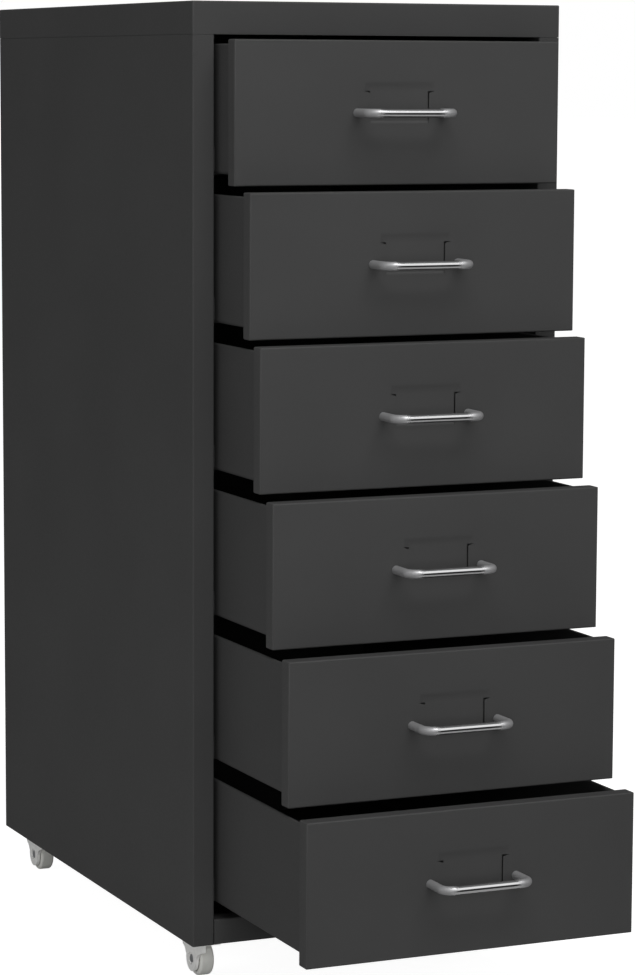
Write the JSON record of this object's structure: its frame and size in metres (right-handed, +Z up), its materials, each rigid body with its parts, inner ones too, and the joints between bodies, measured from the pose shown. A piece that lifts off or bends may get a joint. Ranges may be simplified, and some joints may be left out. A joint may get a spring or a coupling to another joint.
{
  "type": "drawer cabinet",
  "caption": "Tall narrow steel cabinet of stacked pull-out drawers with bow handles and pressed label pockets, on small swivel casters.",
  "frame": {"origin": "on the floor under the middle of the whole, with its drawers open as in the picture", "axes": "+Z up, +Y from the front to the back, +X to the right as seen from the front"},
  "size_m": [0.28, 0.5932, 0.69],
  "materials": {
    "case_paint": "matt dark grey powder coat",
    "front_paint": "matt dark grey powder coat",
    "inner_paint": "matt dark grey powder coat",
    "chrome_bar": "bright chrome plate",
    "zinc": "zinc-plated steel",
    "fork_plastic": "moulded light grey plastic",
    "wheel_plastic": "moulded grey plastic"
  },
  "bodies": {
    "root": {"top_cap": "case_paint", "side_left": "case_paint", "side_right": "case_paint", "back_panel": "case_paint", "base_pan": "case_paint", "case_screws": "zinc", "caster_nuts": "zinc", "runner_left_1": "inner_paint", "runner_left_2": "inner_paint", "runner_left_3": "inner_paint", "runner_left_4": "inner_paint", "runner_left_5": "inner_paint", "runner_left_6": "inner_paint", "runner_right_1": "inner_paint", "runner_right_2": "inner_paint", "runner_right_3": "inner_paint", "runner_right_4": "inner_paint", "runner_right_5": "inner_paint", "runner_right_6": "inner_paint", "caster_fl_stem": "zinc", "caster_fr_stem": "zinc", "caster_bl_stem": "zinc", "caster_br_stem": "zinc"},
    "drawer_1": {"drawer_box_1": "inner_paint", "drawer_front_1": "front_paint", "handle_1": "chrome_bar", "handle_screws_1": "zinc"},
    "drawer_2": {"drawer_box_2": "inner_paint", "drawer_front_2": "front_paint", "handle_2": "chrome_bar", "handle_screws_2": "zinc"},
    "drawer_3": {"drawer_box_3": "inner_paint", "drawer_front_3": "front_paint", "handle_3": "chrome_bar", "handle_screws_3": "zinc"},
    "drawer_4": {"drawer_box_4": "inner_paint", "drawer_front_4": "front_paint", "handle_4": "chrome_bar", "handle_screws_4": "zinc"},
    "drawer_5": {"drawer_box_5": "inner_paint", "drawer_front_5": "front_paint", "handle_5": "chrome_bar", "handle_screws_5": "zinc"},
    "drawer_6": {"drawer_box_6": "inner_paint", "drawer_front_6": "front_paint", "handle_6": "chrome_bar", "handle_screws_6": "zinc"},
    "swivel_fl": {"caster_fl_fork": "fork_plastic", "caster_fl_axle": "zinc"},
    "wheel_fl": {"caster_fl_wheel": "wheel_plastic"},
    "swivel_fr": {"caster_fr_fork": "fork_plastic", "caster_fr_axle": "zinc"},
    "wheel_fr": {"caster_fr_wheel": "wheel_plastic"},
    "swivel_bl": {"caster_bl_fork": "fork_plastic", "caster_bl_axle": "zinc"},
    "wheel_bl": {"caster_bl_wheel": "wheel_plastic"},
    "swivel_br": {"caster_br_fork": "fork_plastic", "caster_br_axle": "zinc"},
    "wheel_br": {"caster_br_wheel": "wheel_plastic"}
  },
  "joints": [
    {"name": "drawer_1_slide", "type": "slide", "parent": "root", "child": "drawer_1", "axis": [0, -1, 0], "range_m": [-0.032, 0.268]},
    {"name": "drawer_2_slide", "type": "slide", "parent": "root", "child": "drawer_2", "axis": [0, -1, 0], "range_m": [-0.059, 0.241]},
    {"name": "drawer_3_slide", "type": "slide", "parent": "root", "child": "drawer_3", "axis": [0, -1, 0], "range_m": [-0.077, 0.223]},
    {"name": "drawer_4_slide", "type": "slide", "parent": "root", "child": "drawer_4", "axis": [0, -1, 0], "range_m": [-0.099, 0.201]},
    {"name": "drawer_5_slide", "type": "slide", "parent": "root", "child": "drawer_5", "axis": [0, -1, 0], "range_m": [-0.126, 0.174]},
    {"name": "drawer_6_slide", "type": "slide", "parent": "root", "child": "drawer_6", "axis": [0, -1, 0], "range_m": [-0.156, 0.144]},
    {"name": "swivel_fl_turn", "type": "hinge", "parent": "root", "child": "swivel_fl", "pos_m": [-0.1135, -0.08205, 0.03], "axis": [0, 0, 1], "continuous": true},
    {"name": "wheel_fl_roll", "type": "hinge", "parent": "swivel_fl", "child": "wheel_fl", "pos_m": [-0.1135, -0.06505, 0.0125], "axis": [1, 0, 0], "continuous": true},
    {"name": "swivel_fr_turn", "type": "hinge", "parent": "root", "child": "swivel_fr", "pos_m": [0.1135, -0.08205, 0.03], "axis": [0, 0, 1], "continuous": true},
    {"name": "wheel_fr_roll", "type": "hinge", "parent": "swivel_fr", "child": "wheel_fr", "pos_m": [0.1135, -0.06505, 0.0125], "axis": [1, 0, 0], "continuous": true},
    {"name": "swivel_bl_turn", "type": "hinge", "parent": "root", "child": "swivel_bl", "pos_m": [-0.1135, 0.26195, 0.03], "axis": [0, 0, 1], "continuous": true},
    {"name": "wheel_bl_roll", "type": "hinge", "parent": "swivel_bl", "child": "wheel_bl", "pos_m": [-0.1135, 0.27895, 0.0125], "axis": [1, 0, 0], "continuous": true},
    {"name": "swivel_br_turn", "type": "hinge", "parent": "root", "child": "swivel_br", "pos_m": [0.1135, 0.26195, 0.03], "axis": [0, 0, 1], "continuous": true},
    {"name": "wheel_br_roll", "type": "hinge", "parent": "swivel_br", "child": "wheel_br", "pos_m": [0.1135, 0.27895, 0.0125], "axis": [1, 0, 0], "continuous": true}
  ]
}
